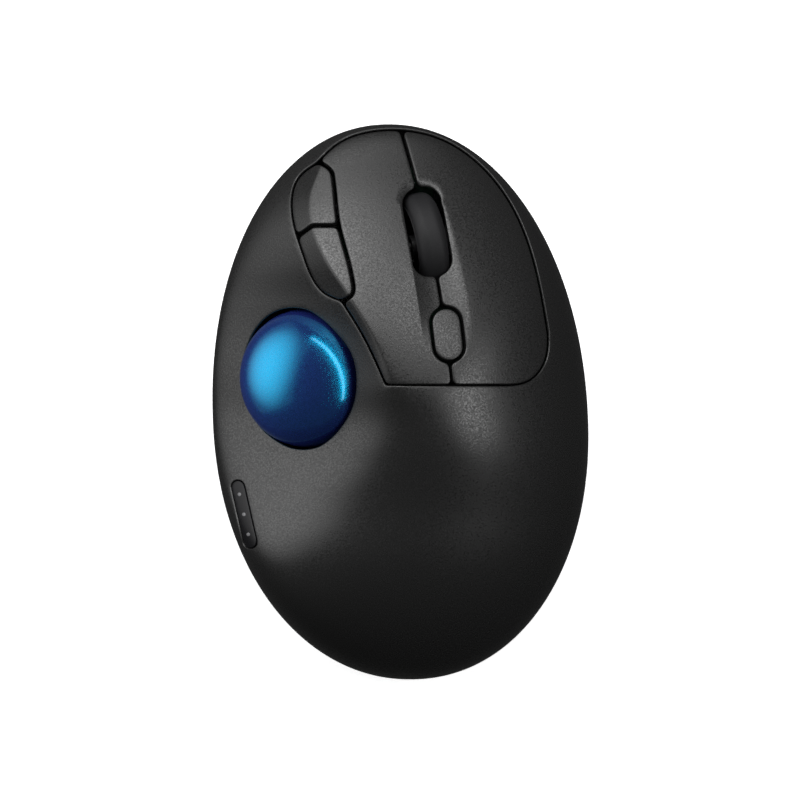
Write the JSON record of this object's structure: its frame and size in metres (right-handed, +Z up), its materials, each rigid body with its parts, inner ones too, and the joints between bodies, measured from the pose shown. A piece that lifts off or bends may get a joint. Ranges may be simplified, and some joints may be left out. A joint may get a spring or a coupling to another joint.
{
  "type": "trackball mouse",
  "caption": "Wireless right-hand trackball mouse: sculpted matte shell, thumb-operated blue ball, scroll wheel, main and side keys.",
  "frame": {"origin": "on the desk, under the middle of the object's footprint", "axes": "+X to the user's right, +Y to the front where the keys are, +Z up from the desk"},
  "size_m": [0.092, 0.1358, 0.0473],
  "materials": {
    "shell_black": "fine matte texture",
    "base_black": "fine matte texture",
    "key_black": "fine matte texture",
    "ball_blue": "pearl under a clear polish",
    "inner_plastic": "as moulded",
    "ceramic": "polished",
    "clear_lens": "clear",
    "smoke_lens": "satin translucent",
    "chip_black": "moulded epoxy",
    "board_green": "solder mask",
    "ribbon_amber": "polyimide",
    "wheel_rubber": "matte rubber",
    "steel": "plated",
    "switch_body": "as moulded",
    "switch_stem": "as moulded",
    "lamp_white": "clear epoxy",
    "battery_wrap": "printed film without text",
    "receiver_black": "as moulded",
    "control_grey": "as moulded",
    "foot_grey": "slippery plastic"
  },
  "bodies": {
    "casing": {"top_shell": "shell_black", "bottom_shell": "base_black", "ball_cup": "inner_plastic", "support_bead_left": "ceramic", "support_bead_rear": "ceramic", "support_bead_front": "ceramic", "sensor_lens": "clear_lens", "sensor_chip": "chip_black", "sensor_board": "board_green", "sensor_cable": "ribbon_amber", "wheel_guide": "inner_plastic", "wheel_click_switch": "switch_body", "main_board": "board_green", "controller_chip": "chip_black", "radio_module": "steel", "left_switch": "switch_body", "right_switch": "switch_body", "forward_switch": "switch_body", "back_switch": "switch_body", "side_board": "board_green", "speed_board": "board_green", "speed_switch": "switch_body", "indicator_lens": "smoke_lens", "indicator_board": "board_green", "indicator_lamps": "lamp_white", "battery_cell": "battery_wrap", "battery_plate": "steel", "battery_spring": "steel", "usb_receiver": "receiver_black", "power_switch": "steel", "pairing_switch": "switch_body", "foot_left_front": "foot_grey", "foot_right_front": "foot_grey", "foot_right": "foot_grey", "foot_right_rear": "foot_grey", "foot_left_rear": "foot_grey", "foot_left": "foot_grey", "case_screws": "steel", "board_screws": "steel"},
    "left_key": {"left_button": "key_black", "left_switch_plunger": "switch_stem"},
    "right_key": {"right_button": "key_black", "right_switch_plunger": "switch_stem"},
    "forward_key": {"forward_button": "key_black"},
    "back_key": {"back_button": "key_black"},
    "speed_key": {"speed_button": "key_black"},
    "wheel_carriage": {"wheel_cradle": "inner_plastic", "wheel_encoder": "chip_black"},
    "scroll_wheel": {"scroll_wheel_tyre": "wheel_rubber", "scroll_wheel_hub": "inner_plastic", "scroll_wheel_axle": "inner_plastic"},
    "thumb_ball": {"trackball": "ball_blue"},
    "battery_cover": {"battery_door": "base_black"},
    "power_control": {"power_slider": "control_grey"},
    "pairing_control": {"pairing_button": "control_grey"}
  },
  "joints": [
    {"name": "left_key_press", "type": "hinge", "parent": "casing", "child": "left_key", "pos_m": [0.0041, -0.001, 0.0392], "axis": [-1, 0, 0], "range_deg": [0, 0.9], "stiffness_Nm_per_rad": 0.15, "springref_deg": -5.73},
    {"name": "right_key_press", "type": "hinge", "parent": "casing", "child": "right_key", "pos_m": [0.0207, -0.001, 0.0342], "axis": [-1, 0, 0], "range_deg": [0, 0.9], "stiffness_Nm_per_rad": 0.15, "springref_deg": -5.73},
    {"name": "forward_key_press", "type": "slide", "parent": "casing", "child": "forward_key", "axis": [0.648, -0.2262, -0.7273], "range_m": [0, 0.0006], "stiffness_N_per_m": 500, "springref_m": -0.001},
    {"name": "back_key_press", "type": "slide", "parent": "casing", "child": "back_key", "axis": [0.648, -0.2262, -0.7273], "range_m": [0, 0.0006], "stiffness_N_per_m": 500, "springref_m": -0.001},
    {"name": "speed_key_press", "type": "slide", "parent": "casing", "child": "speed_key", "axis": [0, 0, -1], "range_m": [0, 0.0005], "stiffness_N_per_m": 500, "springref_m": -0.001},
    {"name": "wheel_click", "type": "slide", "parent": "casing", "child": "wheel_carriage", "axis": [-0.2049, -0.035, -0.9781], "range_m": [0, 0.0005], "stiffness_N_per_m": 800, "springref_m": -0.001},
    {"name": "wheel_spin", "type": "hinge", "parent": "wheel_carriage", "child": "scroll_wheel", "pos_m": [0.0056, 0.0383, 0.0283], "axis": [0.9642, 0.1648, -0.2079], "continuous": true},
    {"name": "ball_spin", "type": "hinge", "parent": "casing", "child": "thumb_ball", "pos_m": [-0.0222, 0.0059, 0.0275], "axis": [1, 0, 0], "continuous": true},
    {"name": "battery_cover_swing", "type": "hinge", "parent": "casing", "child": "battery_cover", "pos_m": [0.0132, 0.0044, 0.0017], "axis": [1, 0, 0], "range_deg": [0, 75]},
    {"name": "power_slide", "type": "slide", "parent": "casing", "child": "power_control", "axis": [0, 1, 0], "range_m": [0, 0.003]},
    {"name": "pairing_press", "type": "slide", "parent": "casing", "child": "pairing_control", "axis": [0, 0, 1], "range_m": [0, 0.0004], "stiffness_N_per_m": 500, "springref_m": -0.001}
  ]
}
